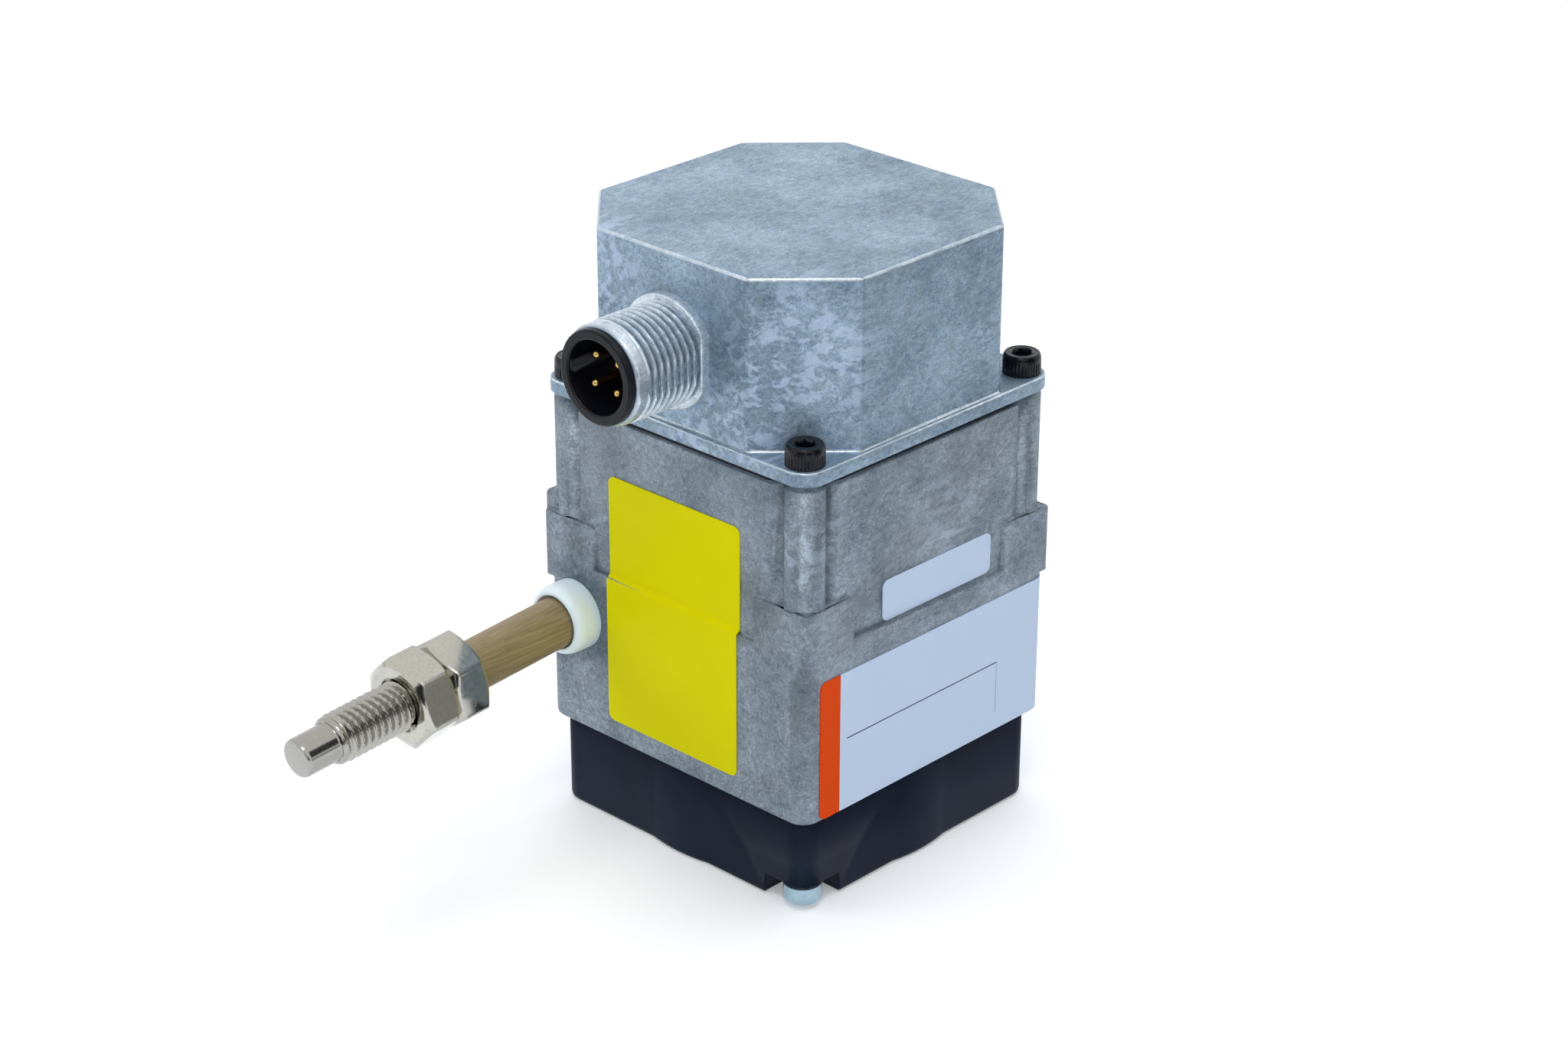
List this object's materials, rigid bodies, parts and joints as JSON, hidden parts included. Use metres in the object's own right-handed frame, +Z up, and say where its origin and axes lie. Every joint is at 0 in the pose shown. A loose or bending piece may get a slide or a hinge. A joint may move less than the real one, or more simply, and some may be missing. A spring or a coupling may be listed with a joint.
{
  "type": "draw wire encoder",
  "caption": "Draw wire position encoder: square die-cast drum housing with an octagonal cover, round threaded plug, black spring housing, and a wire end with threaded stud and nuts.",
  "frame": {"origin": "on the drum axis, in the plane of the base of the spring housing", "axes": "+Z up along the drum axis; -Y the front, where the plug points and the wire leaves; +X the side with the type label; -X the mounting side"},
  "size_m": [0.0426, 0.0846, 0.0755],
  "materials": {
    "cast_zinc": "as cast, satin",
    "cast_zinc_dark": "as cast, satin",
    "black_plastic": "moulded, matt",
    "zinc_plated_steel": "zinc plated, bluish",
    "black_oxide_steel": "black oxide",
    "black_rubber": "matt",
    "insert_plastic": "moulded, smooth",
    "gold_plated_brass": "gold plated",
    "lead_insulation": "smooth",
    "white_acetal": "smooth, slightly translucent",
    "yellow_film": "satin film",
    "white_film": "satin film",
    "milled_aluminium": "turned or milled",
    "brass_rod": "turned",
    "plated_screw_steel": "nickel plated",
    "bearing_steel": "ground",
    "shaft_steel": "ground",
    "spring_steel": "rolled strip",
    "stainless_wire": "stranded",
    "sensor_plastic": "moulded",
    "board_laminate": "solder mask",
    "component_plastic": "moulded",
    "brown_sleeve": "extruded, fine lengthwise grain",
    "stainless_steel": "turned, rolled thread",
    "nickel_plated_nut": "bright nickel"
  },
  "bodies": {
    "housing": {"spring_housing": "black_plastic", "spring_housing_screws": "zinc_plated_steel", "drum_housing": "cast_zinc_dark", "cover_gasket": "black_rubber", "encoder_cover": "cast_zinc", "cover_screws": "black_oxide_steel", "contact_insert": "insert_plastic", "contact_pins": "gold_plated_brass", "connector_leads": "lead_insulation", "wire_outlet": "white_acetal", "yellow_label": "yellow_film", "type_label": "white_film", "number_label": "white_film", "bearing_plate": "milled_aluminium", "spacers": "brass_rod", "plate_screws": "plated_screw_steel", "sensor_plate": "milled_aluminium", "bearing_outer_rings": "bearing_steel", "bearing_balls": "bearing_steel", "potentiometer": "sensor_plastic", "potentiometer_nut": "plated_screw_steel", "potentiometer_leads": "gold_plated_brass", "circuit_board": "board_laminate", "board_components": "component_plastic", "board_screws": "plated_screw_steel"},
    "drum": {"bearing_inner_rings": "bearing_steel", "wire_drum": "milled_aluminium", "wire_winding": "stainless_wire", "drum_shaft": "shaft_steel", "spring_arbor": "shaft_steel", "power_spring": "spring_steel", "shaft_coupling": "milled_aluminium", "coupling_screws": "black_oxide_steel", "potentiometer_shaft": "shaft_steel"},
    "wire_end": {"draw_wire": "stainless_wire", "end_stop_sleeve": "brown_sleeve", "threaded_stud": "stainless_steel", "rear_nut": "nickel_plated_nut", "front_nut": "nickel_plated_nut"}
  },
  "joints": [
    {"name": "wire_pull", "type": "slide", "parent": "housing", "child": "wire_end", "axis": [0, -1, 0], "range_m": [0, 1], "stiffness_N_per_m": 2, "springref_m": -2, "deforming": ["draw_wire"]},
    {"name": "drum_spin", "type": "hinge", "parent": "housing", "child": "drum", "pos_m": [0, 0, 0.025], "axis": [0, 0, 1], "range_deg": [0, 3593], "deforming": ["power_spring"]}
  ],
  "couplings": [
    {"joint": "drum_spin", "follows": "wire_pull", "rad_per_m": 62.696}
  ]
}
